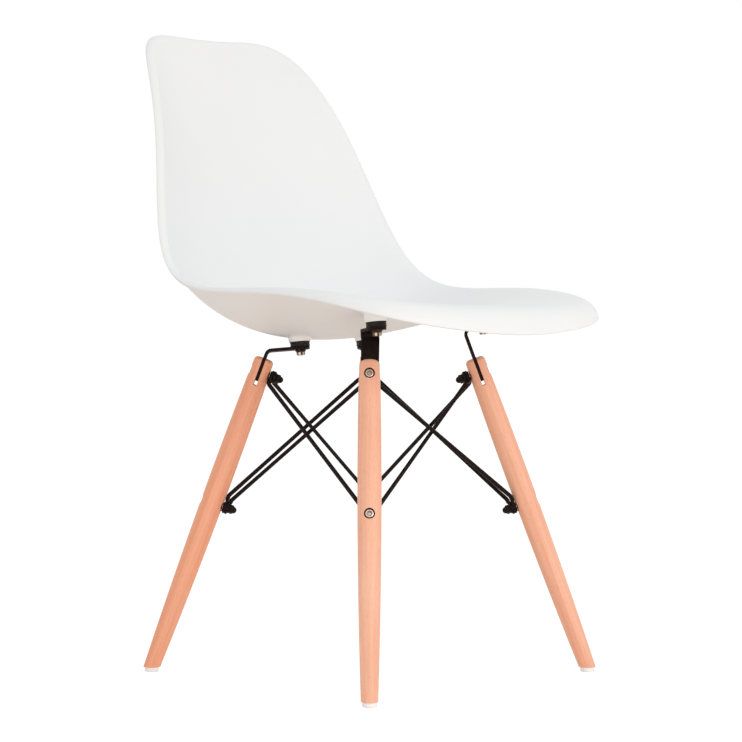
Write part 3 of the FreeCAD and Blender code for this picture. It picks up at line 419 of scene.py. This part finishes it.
rubber = Finish("moulded_rubber", IOR=1.5, Specular_IOR_Level=0.3)
grain = rubber.noise(rubber.place(), scale=2600.0, detail=3.0, roughness=0.65)
dust = rubber.noise(rubber.place(), scale=160.0)
rubber.feed("Base Color", rubber.blend(dust, linear(20, 12, 11), linear(37, 25, 23)))
rubber.feed("Roughness", 0.4 + 0.25 * grain)
rubber.bump(grain, depth=0.05 * MM)
PAD_PROFILE = [
    (-6.3, 3.3), (-6.3, 12.2), (-6.1, 12.6), (-5.7, 12.75), (-5.1, 12.7), (-4.6, 12.3),
    (-1.7, 12.3), (-1.2, 12.7), (-0.6, 12.75), (-0.2, 12.6), (0, 12.2), (0, 3.3), (-6.3, 3.3),
]
for place in LEG_SIDES:
    mesh = grid_mesh("pad_" + place, turned_grid(PAD_PROFILE, boss_frame(place)))
    add_piece("pad_" + place, mesh, rubber, "black_rubber", "rubber_pad_" + place)


# Leg brackets
# Each bracket is a 4 mm steel strip, bent once, with a round-ended flange under the pad and a tang
# that is let into the sawn top of the leg. It is powder coated black, with softened edges.
def node_copy(node_name):
    """A mesh that starts as a copy of a CAD node's mesh."""
    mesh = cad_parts[node_name].data.copy()
    mesh.name = node_name + "_rounded"
    return mesh


powder = Finish("black_powder_coat", IOR=1.5, Specular_IOR_Level=0.12)
peel = powder.noise(powder.place(), scale=700.0, roughness=0.4)
speck = powder.noise(powder.place(), scale=3000.0, detail=1.0)
powder.feed("Base Color", powder.blend(peel, linear(20, 11, 9), linear(32, 20, 17)))
powder.feed("Roughness", 0.34 + 0.14 * peel + 0.06 * speck)
powder.bump(peel, depth=0.03 * MM)
for place in LEG_SIDES:
    name = "leg_bracket_" + place
    add_piece("bent_plate_" + place, node_copy(name), powder, "black_steel", name, edge=0.45 * MM)


# Seat bolts and their washers
# A yellow zinc plated hexagon bolt holds each bracket, with a spring washer on a flat washer
# under its head, both coloured dark brown: partly oil, partly painted shade under the head. The
# head's corners are chamfered, and painted shade darkens them in place of the dark reflections
# on the hexagon's facets.
HEX_PROFILE = [
    (-4, 0), (-4, 4.55, 10), (-3.85, 4.85, 10), (-3.6, 5.2, 10), (-3.3, 5.5, 10),
    (-2.9, 5.78, 10), (-0.45, 5.78, 10), (-0.2, 5.6, 10), (-0.2, 4.7), (0, 4.6), (0, 2.95),
    (20.1, 2.95), (20.5, 2.5), (20.5, 0),
]
SEAT_WASHER_PROFILE = [
    (0, 3.3), (0, 6.7), (0.15, 6.95), (0.35, 7), (1.35, 7), (1.5, 6.9), (1.6, 6.7), (1.6, 3.3),
    (0, 3.3),
]
HEX_COLUMNS, BOLT_HEAD_AT, SEAT_WASHER_AT = 96, -13.5, -11.9
CORNER_REACH, CORNER_FADE = 17, 8


def lifted(frame_at, height):
    """A frame moved along its own third direction."""
    origin, basis = frame_at
    return origin + basis[2] * height * MM, basis


def near_corner(profile, columns):
    """Painted shade: 1 at the corners of a hexagon, fading to 0 beside them, on the rows that
    have flats.
    """
    angle = np.degrees(2 * np.pi * np.arange(columns) / columns)
    away = np.abs(np.mod(angle + 30, 60) - 30)
    flats = np.array([[float(len(row) > 2)] for row in profile])
    return flats * np.clip((CORNER_REACH - away) / CORNER_FADE, 0, 1)


zinc = Finish("yellow_zinc", Metallic=1.0)
bloom = zinc.noise(zinc.place(), scale=260.0, detail=3.0, roughness=0.6)
scratch = zinc.noise(zinc.place(Scale=(1, 1, 9)), scale=900.0, roughness=0.7)
plated = zinc.blend(bloom, linear(214, 190, 168), linear(240, 228, 216))
# Painted shade darkens the hexagon's corners, in place of the dark reflections on its facets.
painted_shade = zinc.node("ShaderNodeAttribute", {"attribute_name": "painted_shade"}, output="Fac")
zinc.feed("Base Color", zinc.blend(painted_shade, plated, linear(74, 52, 40)))
zinc.feed("Roughness", 0.2 + 0.14 * scratch + 0.08 * bloom)
zinc.bump(scratch, depth=0.02 * MM)
# The washers are yellow zinc coloured dark brown: partly oil, partly painted shade under the bolt
# heads.
dark_zinc = Finish("dark_zinc", Metallic=1.0)
patches = dark_zinc.noise(dark_zinc.place(), scale=420.0, detail=3.0, roughness=0.6)
oil_and_painted_shade = dark_zinc.blend(patches.ramp(0.35, 0.7), linear(44, 32, 27), linear(104, 82, 68))
dark_zinc.feed("Base Color", oil_and_painted_shade)
dark_zinc.feed("Roughness", 0.3 + 0.2 * patches)
dark_zinc.bump(patches, depth=0.02 * MM)
heads = [lifted(boss_frame(place), BOLT_HEAD_AT) for place in LEG_SIDES]
bolt_mesh = grid_mesh("hexagon_bolts", *(turned_grid(HEX_PROFILE, at, HEX_COLUMNS) for at in heads))
mark(bolt_mesh, "painted_shade", *[near_corner(HEX_PROFILE, HEX_COLUMNS)] * len(LEG_SIDES))
add_piece("hexagon_bolts", bolt_mesh, zinc, "yellow_zinc", "seat_bolts", smooth_below=24)
seats = [lifted(boss_frame(place), SEAT_WASHER_AT) for place in LEG_SIDES]
washer_mesh = grid_mesh("flat_washers", *(turned_grid(SEAT_WASHER_PROFILE, at) for at in seats))
add_piece("flat_washers", washer_mesh, dark_zinc, "yellow_zinc", "seat_washers", smooth_below=30)
name = "seat_spring_washers"
add_piece("spring_washers", node_copy(name), dark_zinc, "yellow_zinc", name, edge=0.15 * MM)


# Legs
# Each leg is turned from one piece of beech with a long slight belly. The top is rounded and sawn
# open for the bracket. Beech shows short dark flecks along the grain and hardly any figure.
# Each leg's dark and pale grain colours are set apart as painted light and shade: the rear left leg
# is darker and more orange, the front left leg lightest.
BEECH_GRAIN_AND_PAINTED_LIGHT = {
    "rear_right": ((240, 174, 142), (251, 193, 163)),
    "rear_left": ((237, 157, 121), (250, 179, 144)),
    "front_left": ((243, 176, 146), (253, 197, 167)),
    "front_right": ((239, 170, 138), (250, 191, 162)),
}
BOLT_FROM_TOP = {"upper": 19, "lower": 195}
BORE_RADIUS, BORE_BLUR, END_GRAIN_DEPTH = 6.7 * MM, 0.1 * MM, 5 * MM


def beech_finish(place):
    """Beech whose grain runs along one leg: the coordinates are turned into that leg's frame. The
    bored walls about the bolts' axes are painted shade, and the end grain of the top is darker."""
    turn = math.radians(LEG_SIDES[place])
    foot, _ = leg_frame(place)
    oil = {"Coat_Weight": 0.08, "Coat_Roughness": 0.35}
    beech = Finish("beech_" + place, IOR=1.5, Specular_IOR_Level=0.35, **oil)
    local = beech.place(kind="TEXTURE", Location=tuple(foot), Rotation=(0, -LEAN, turn))
    sideways, up = (beech.node("ShaderNodeSeparateXYZ", None, {0: local}, axis) for axis in "YZ")
    fleck_scale, ring_scale = {"Scale": (1500, 1500, 210)}, {"Scale": (210, 110, 4)}
    fleck_place = beech.node("ShaderNodeMapping", None, {"Vector": local, **fleck_scale})
    ring_place = beech.node("ShaderNodeMapping", None, {"Vector": local, **ring_scale})
    fleck = beech.noise(fleck_place, scale=1.0, detail=1.0).ramp(0.6, 0.72)
    rings = beech.noise(ring_place, scale=1.0, detail=4.0, roughness=0.55)
    tone = beech.noise(local, scale=11.0)
    dark, pale = (linear(*colour) for colour in BEECH_GRAIN_AND_PAINTED_LIGHT[place])
    wood = beech.blend(rings.ramp(0.3, 0.7), dark, pale)
    wood = beech.blend(tone.ramp(0.35, 0.65) * 0.4, wood, linear(242, 174, 141))
    wood = beech.blend(fleck * 0.35, wood, linear(205, 142, 108))
    end_grain = up.ramp(LEG_LENGTH - END_GRAIN_DEPTH, LEG_LENGTH)
    wood = beech.blend(end_grain * 0.4, wood, linear(196, 136, 102))
    # Painted shade: the wood within the bore radius of each leg bolt's axis is darkened to deep
    # brown.
    for from_top in BOLT_FROM_TOP.values():
        level = up - (LEG_LENGTH - from_top * MM)
        away = (sideways * sideways + level * level) ** 0.5
        outside = away.ramp(BORE_RADIUS - BORE_BLUR, BORE_RADIUS + BORE_BLUR)
        wood = beech.blend(1 - outside, wood, linear(112, 62, 36))
    beech.feed("Base Color", wood)
    beech.feed("Roughness", 0.42 + 0.1 * rings + 0.1 * fleck)
    beech.bump(1 - fleck * 0.8 - rings * 0.2, depth=0.05 * MM)
    return beech


for place in LEG_SIDES:
    name = "leg_" + place
    add_piece("turned_" + name, node_copy(name), beech_finish(place), "beech", name, edge=0.35 * MM)


# Foot glides
# A white nylon disc with a rounded lower edge is nailed under each foot. The steel nail head lies
# in a recess, clear of the floor.
GLIDE_PROFILE = [
    (6, 1.25), (2.5, 1.25), (2.5, 3.05), (0.25, 3.05), (0, 3.3), (0, 7.6), (0.2, 8.2), (0.6, 8.6),
    (1.1, 8.75), (5.7, 8.75), (6, 8.45), (6, 1.25),
]
nylon = Finish("white_nylon", IOR=1.53, Specular_IOR_Level=0.4)
waxy = nylon.noise(nylon.place(), scale=420.0, detail=3.0, roughness=0.6)
nylon.feed("Base Color", nylon.blend(waxy, linear(246, 246, 246), linear(253, 253, 253)))
nylon.feed("Roughness", 0.38 + 0.2 * waxy)
nylon.bump(waxy, depth=0.03 * MM)
for place in LEG_SIDES:
    foot, _ = leg_frame(place)
    stand = (foot * [1, 1, 0], np.eye(3))
    mesh = grid_mesh("glide_" + place, turned_grid(GLIDE_PROFILE, stand))
    add_piece("glide_" + place, mesh, nylon, "white_nylon", "foot_glide_" + place)


# Leg bolts and glide nails
# Two bright zinc plated cap bolts go through each leg. Their heads lie in counterbores on the
# outside and show a hexagon socket, whose walls carry painted shade. The steel's warm beige tint
# is painted reflection of the beech around the heads. The nails in the glides are of the same
# bright steel.
BELLY_RADIUS, BELLY_FROM_TOP, ARC_END_RADIUS, ARC_END_FROM_TOP = 14.5, 160, 10, 423
NECK_RADIUS, NECK_LENGTH, CONE_LENGTH = 12.6, 6.5, 22
COUNTERBORE, PLAY, WASHER, EYE, NUT_THREAD = 5, 0.2, 1.4, 3.0, 6.5
CAP_COLUMNS = 72


def leg_radius(from_top):
    """Radius of the turned leg in mm: a straight neck, a cone and then one arc about the belly,
    whose own radius follows from how far it drops on its run to the foot."""
    run, drop = ARC_END_FROM_TOP - BELLY_FROM_TOP, BELLY_RADIUS - ARC_END_RADIUS
    arc = (run**2 + drop**2) / (2 * drop)
    along = max(from_top, NECK_LENGTH + CONE_LENGTH) - BELLY_FROM_TOP
    radius = BELLY_RADIUS - arc + math.sqrt(arc**2 - along**2)
    share = min(max((from_top - NECK_LENGTH) / CONE_LENGTH, 0), 1)
    return NECK_RADIUS + (radius - NECK_RADIUS) * share


def inward_frame(place, level, reach):
    """A frame on a leg bolt's axis, whose third direction runs inwards. Its origin lies on the
    inner side of the leg's axis by the reach in mm."""
    foot, (normal, side, axis) = leg_frame(place)
    origin = foot + axis * (LEG_LENGTH - BOLT_FROM_TOP[level] * MM) - normal * reach * MM
    return origin, np.array([axis, side, -normal])


def cap_bolt_profile(level):
    """Socket, head and shank, from the bottom of the socket to the end of the thread."""
    in_leg = 2 * leg_radius(BOLT_FROM_TOP[level]) - COUNTERBORE
    end = in_leg + PLAY + 2 * (WASHER + EYE) + NUT_THREAD
    return [
        (-1.4, 0), (-1.4, 2.89, 5), (-3.7, 2.89, 5), (-3.85, 3.1), (-4, 3.3), (-4, 4.4),
        (-3.85, 4.75), (-3.5, 4.98), (-3.2, 5), (-0.2, 5), (0, 4.8), (0, 2.95), (end - 0.4, 2.95),
        (end, 2.5), (end, 0),
    ]


steel = Finish("bright_zinc_steel", Metallic=1.0)
haze = steel.noise(steel.place(), scale=330.0, detail=3.0, roughness=0.6)
# The warm beige of these steel colours is painted reflection of the beech around the heads.
bright = steel.blend(haze, linear(196, 176, 162), linear(232, 216, 204))
painted_shade = steel.node("ShaderNodeAttribute", {"attribute_name": "painted_shade"}, output="Fac")
steel.feed("Base Color", steel.blend(painted_shade, bright, linear(104, 84, 72)))
steel.feed("Roughness", 0.18 + 0.16 * haze)
steel.bump(steel.noise(steel.place(), scale=2400.0), depth=0.02 * MM)
for level in BOLT_FROM_TOP:
    name, profile = "leg_bolts_" + level, cap_bolt_profile(level)
    head_at = COUNTERBORE - leg_radius(BOLT_FROM_TOP[level])
    heads = [inward_frame(place, level, head_at) for place in LEG_SIDES]
    mesh = grid_mesh(name, *(turned_grid(profile, at, CAP_COLUMNS) for at in heads))
    # Painted shade in each socket: dark on its wall and chamfer, fading to nothing in the middle of
    # its floor.
    in_socket = np.zeros((len(profile), CAP_COLUMNS))
    in_socket[1], in_socket[2:4] = 0.4, 1
    mark(mesh, "painted_shade", *[in_socket] * len(LEG_SIDES))
    add_piece("cap_bolts_" + level, mesh, steel, "bright_steel", name, smooth_below=28)
keep_node("glide_nails", steel)


# Brace rods
# Eight steel rods cross between the legs. Each end is pressed flat, pierced and bent just behind
# the eye, and the rods are powder coated black like the brackets.
STACK = {
    "washer": 0, "outer": WASHER, "inner": WASHER + EYE, "cover": WASHER + 2 * EYE,
    "nut": 2 * (WASHER + EYE),
}
ROD_RADIUS, STRIP_HALF_WIDTH, STRIP_HALF_HEIGHT = 2.75, 5.8, 1.47
STRIP_POWER, ROUND_POWER, ROD_COLUMNS = 5, 2, 24
STRIP_START, STRIP_BEND, BEND_RADIUS = 5, 6.4, 2
JOGGLE, JOGGLE_REACH = {"outer": -0.6, "inner": 1.9}, {"outer": 11.6, "inner": 9.8}
ELBOW_REACH, ELBOW_RADIUS = {"outer": 17.2, "inner": 13}, {"outer": 9, "inner": 5}
ROUND_FROM = {"outer": 8, "inner": 6.2}
EYE_PROFILE = [
    (-1.5, 3.4), (-1.5, 7.3), (-1.3, 7.75), (-0.9, 8), (0.9, 8), (1.3, 7.75), (1.5, 7.3),
    (1.5, 3.4), (1.3, 3.2), (-1.3, 3.2), (-1.5, 3.4),
]
SIDE_NAMES = {
    ("rear_right", "rear_left"): "rear",
    ("rear_left", "front_left"): "left",
    ("front_left", "front_right"): "front",
    ("front_right", "rear_right"): "right",
}


def stack_place(level, layer):
    """Distance in mm from the leg's axis at which a layer on a leg bolt begins."""
    return leg_radius(BOLT_FROM_TOP[level]) + PLAY + STACK[layer]


def rounded_path(points, radii, steps=8):
    """A path through points whose inner corners are arcs: each arc turns from one leg of the corner
    to the other about a centre on the corner's middle line."""
    rows = [points[:1]]
    for before, corner, after, radius in zip(points, points[1:], points[2:], radii):
        back, on = unit(before - corner), unit(after - corner)
        half = math.acos(np.clip(back @ on, -1, 1)) / 2
        middle = unit(back + on)
        centre = corner + middle * radius / math.sin(half)
        sweep = (math.pi / 2 - half) * np.linspace(-1, 1, steps)[:, None]
        along = unit(on - back)
        rows.append(centre + radius * (along * np.sin(sweep) - middle * np.cos(sweep)))
    rows.append(points[-1:])
    return np.concatenate(rows)


def rod_grid(place, other, layer):
    """Tube along the rod's path, with its two eyes. Its section is |u|^n + |v|^n = 1 in two half
    sizes. They and n go from a flat strip at the eyes to the round rod."""
    ends = [(place, "upper"), (other, "lower")]
    frames = [inward_frame(p, level, stack_place(level, layer) + EYE / 2) for p, level in ends]
    centres = [origin for origin, _ in frames]
    normals = [basis[2] for _, basis in frames]
    sides = []
    for centre, normal, target in zip(centres, normals, centres[::-1]):
        along = unit((target - centre) - normal * ((target - centre) @ normal))
        strip = [(STRIP_START, 0), (STRIP_BEND, 0)]
        rod = [(JOGGLE_REACH[layer], JOGGLE[layer]), (ELBOW_REACH[layer], JOGGLE[layer])]
        sides.append([centre + (along * reach + normal * rise) * MM for reach, rise in strip + rod])
    points = np.array(sides[0] + sides[1][::-1])
    bends = [BEND_RADIUS, BEND_RADIUS, ELBOW_RADIUS[layer]]
    path = rounded_path(points, np.array(bends + bends[::-1]) * MM)
    tangent = unit(np.gradient(path, axis=0))
    walked = np.concatenate([[0], np.cumsum(np.linalg.norm(np.diff(path, axis=0), axis=1))])
    share = (walked / walked[-1])[:, None]
    blend_normal = normals[0] * (1 - share) + normals[1] * share
    wide = unit(np.cross(blend_normal, tangent))
    thick = np.cross(tangent, wide)
    from_end = np.minimum(walked, walked[-1] - walked) / MM
    ease = np.clip(from_end / ROUND_FROM[layer], 0, 1)[:, None]
    ease = ease * ease * (3 - 2 * ease)
    angle = 2 * np.pi * np.arange(ROD_COLUMNS) / ROD_COLUMNS
    power = 2 / (STRIP_POWER + (ROUND_POWER - STRIP_POWER) * ease)
    half_width = (STRIP_HALF_WIDTH + (ROD_RADIUS - STRIP_HALF_WIDTH) * ease) * MM
    half_height = (STRIP_HALF_HEIGHT + (ROD_RADIUS - STRIP_HALF_HEIGHT) * ease) * MM
    u = np.sign(np.cos(angle)) * np.abs(np.cos(angle)) ** power * half_width
    v = np.sign(np.sin(angle)) * np.abs(np.sin(angle)) ** power * half_height
    tube = path[:, None] + wide[:, None] * u[..., None] + thick[:, None] * v[..., None]
    caps = [np.repeat(path[k : k + 1, None], ROD_COLUMNS, axis=1) for k in (0, -1)]
    eyes = [turned_grid(EYE_PROFILE, frame_at) for frame_at in frames]
    return [np.concatenate([caps[0], tube, caps[1]]), *eyes]


around = list(LEG_SIDES)
for k, place in enumerate(around):
    for other, layer in ((around[(k + 1) % 4], "outer"), (around[k - 1], "inner")):
        side = SIDE_NAMES.get((place, other)) or SIDE_NAMES[(other, place)]
        name = f"rod_{side}_{layer}"
        mesh = grid_mesh(name, *rod_grid(place, other, layer))
        add_piece(name, mesh, powder, "black_steel", "brace_" + name)


# Rod washers and cap nuts
# On every leg bolt the two rod eyes lie between flat washers under a domed cap nut, all black.
# The nut's corners are chamfered at both ends of the hexagon, and a short neck carries the dome.
HEXAGON_PROFILE = [
    (0, 2.9), (0, 4.7), (0.15, 5.2, 10), (0.45, 5.78, 10), (4.4, 5.78, 10), (4.9, 5.3, 10),
    (5.2, 4.8), (5.2, 4.35),
]
DOME_RADIUS, DOME_START = 4.3, 5.3
ROD_WASHER_PROFILE = [
    (0, 3.2), (0, 6.2), (0.12, 6.42), (0.3, 6.5), (1.1, 6.5), (1.28, 6.42), (1.4, 6.2), (1.4, 3.2),
    (0, 3.2),
]
NUT_COLUMNS, RING_COLUMNS = 72, 48


def dome_profile(rows=9):
    """A quarter circle from the neck to the top of the dome."""
    swing = np.linspace(0, np.pi / 2, rows)
    return list(zip(DOME_START + DOME_RADIUS * np.sin(swing), DOME_RADIUS * np.cos(swing)))


def clamp_grids(profile, columns, *layers):
    """One turned grid in each of the given layers on every leg bolt."""
    clamps = [(place, level) for place in LEG_SIDES for level in BOLT_FROM_TOP]
    return [
        turned_grid(profile, inward_frame(place, level, stack_place(level, layer)), columns)
        for place, level in clamps
        for layer in layers
    ]


nuts = clamp_grids(HEXAGON_PROFILE + dome_profile(), NUT_COLUMNS, "nut")
rings = clamp_grids(ROD_WASHER_PROFILE, RING_COLUMNS, "washer", "cover")
for name, node, grids in (
    ("domed_nuts", "cap_nuts", nuts),
    ("clamp_washers", "rod_washers", rings),
):
    add_piece(name, grid_mesh(name, *grids), powder, "black_steel", node, smooth_below=28)


# Floor, light and camera
# The photo is a catalogue picture on pure white with soft light from all round and a little more
# from the front, so that the shell is nearly shadowless and only its underside is darker.
FLOOR_REACH, FLOOR_GLOW, FLOOR_GREY = 30, 0.86, 0.3
FILL_STRENGTH = 0.755
AIM = Vector((0, 0, 0.45))
PIXELS, SENSOR, FOCAL_PIXELS, SHIFT_PIXELS, TILT_PIXELS = 742, 36.0, 2534.0, 1.5, 79.5
DISTANCE, HEIGHT = 3.2107, 0.4829

floor_mesh = bpy.data.meshes.new("floor")
corners = [(x * FLOOR_REACH, y * FLOOR_REACH, 0) for x, y in ((-1, -1), (1, -1), (1, 1), (-1, 1))]
floor_mesh.from_pydata(corners, [], [(0, 1, 2, 3)])
floor = bpy.data.objects.new("floor", floor_mesh)
bpy.context.scene.collection.objects.link(floor)
ground = Finish("pale_floor", Roughness=0.9)
ground.feed("Base Color", linear(252, 244, 236))
seen = ground.node("ShaderNodeLightPath", output="Is Camera Ray")
glow = ground.node("ShaderNodeEmission", None, {"Color": (1, 1, 1, 1), "Strength": FLOOR_GLOW})
dim = ground.node("ShaderNodeBsdfDiffuse", None, {"Color": (*[FLOOR_GREY] * 3, 1)})
lit = ground.node("ShaderNodeAddShader", None, {0: glow, 1: dim})
plain = Shade(ground, ground.shader.outputs[0])
surface = ground.node("ShaderNodeMixShader", None, {0: seen, 1: plain, 2: lit})
ground.put(ground.tree.nodes["Material Output"].inputs["Surface"], surface)
floor_mesh.materials.append(ground.material)

world = bpy.data.worlds.new("studio")
bpy.context.scene.world = world
world.use_nodes = True
path = world.node_tree.nodes.new("ShaderNodeLightPath")
direct = path.outputs["Is Camera Ray"]
for other_ray in ("Is Glossy Ray", "Is Transmission Ray"):
    either = world.node_tree.nodes.new("ShaderNodeMath")
    either.operation = "MAXIMUM"
    world.node_tree.links.new(direct, either.inputs[0])
    world.node_tree.links.new(path.outputs[other_ray], either.inputs[1])
    direct = either.outputs[0]
strength = world.node_tree.nodes.new("ShaderNodeMapRange")
strength.inputs["To Min"].default_value = FILL_STRENGTH
strength.inputs["To Max"].default_value = 1.0
background = world.node_tree.nodes["Background"]
background.inputs["Color"].default_value = (1, 1, 1, 1)
world.node_tree.links.new(direct, strength.inputs["Value"])
world.node_tree.links.new(strength.outputs[0], background.inputs["Strength"])


def add_light(name, place, width, height, power):
    """A soft box that faces the middle of the chair."""
    lamp = bpy.data.lights.new(name, "AREA")
    lamp.shape = "RECTANGLE"
    lamp.size, lamp.size_y = width, height
    lamp.energy = power
    light = bpy.data.objects.new(name, lamp)
    light.location = place
    light.rotation_euler = (AIM - Vector(place)).to_track_quat("-Z", "Y").to_euler()
    bpy.context.scene.collection.objects.link(light)


add_light("front_light", (-0.6, -3.35, 1.35), 2.2, 1.8, 33)
add_light("left_light", (-3.4, -0.2, 1.6), 2.0, 1.8, 1.5)
add_light("top_light", (0.2, 0.2, 3.6), 2.5, 2.5, 5)

camera_data = bpy.data.cameras.new("camera")
camera = bpy.data.objects.new("camera", camera_data)
bpy.context.scene.collection.objects.link(camera)
bpy.context.scene.camera = camera
camera_data.sensor_width = SENSOR
camera_data.lens = SENSOR * FOCAL_PIXELS / PIXELS
camera_data.shift_x = SHIFT_PIXELS / PIXELS
diagonal = DISTANCE * math.sqrt(0.5)
camera.location = (-diagonal, -diagonal - LEGS_FORWARD, HEIGHT)
camera.rotation_euler = (math.pi / 2 - math.atan(TILT_PIXELS / FOCAL_PIXELS), 0, math.radians(-45))
bpy.context.scene.view_settings.view_transform = "Standard"
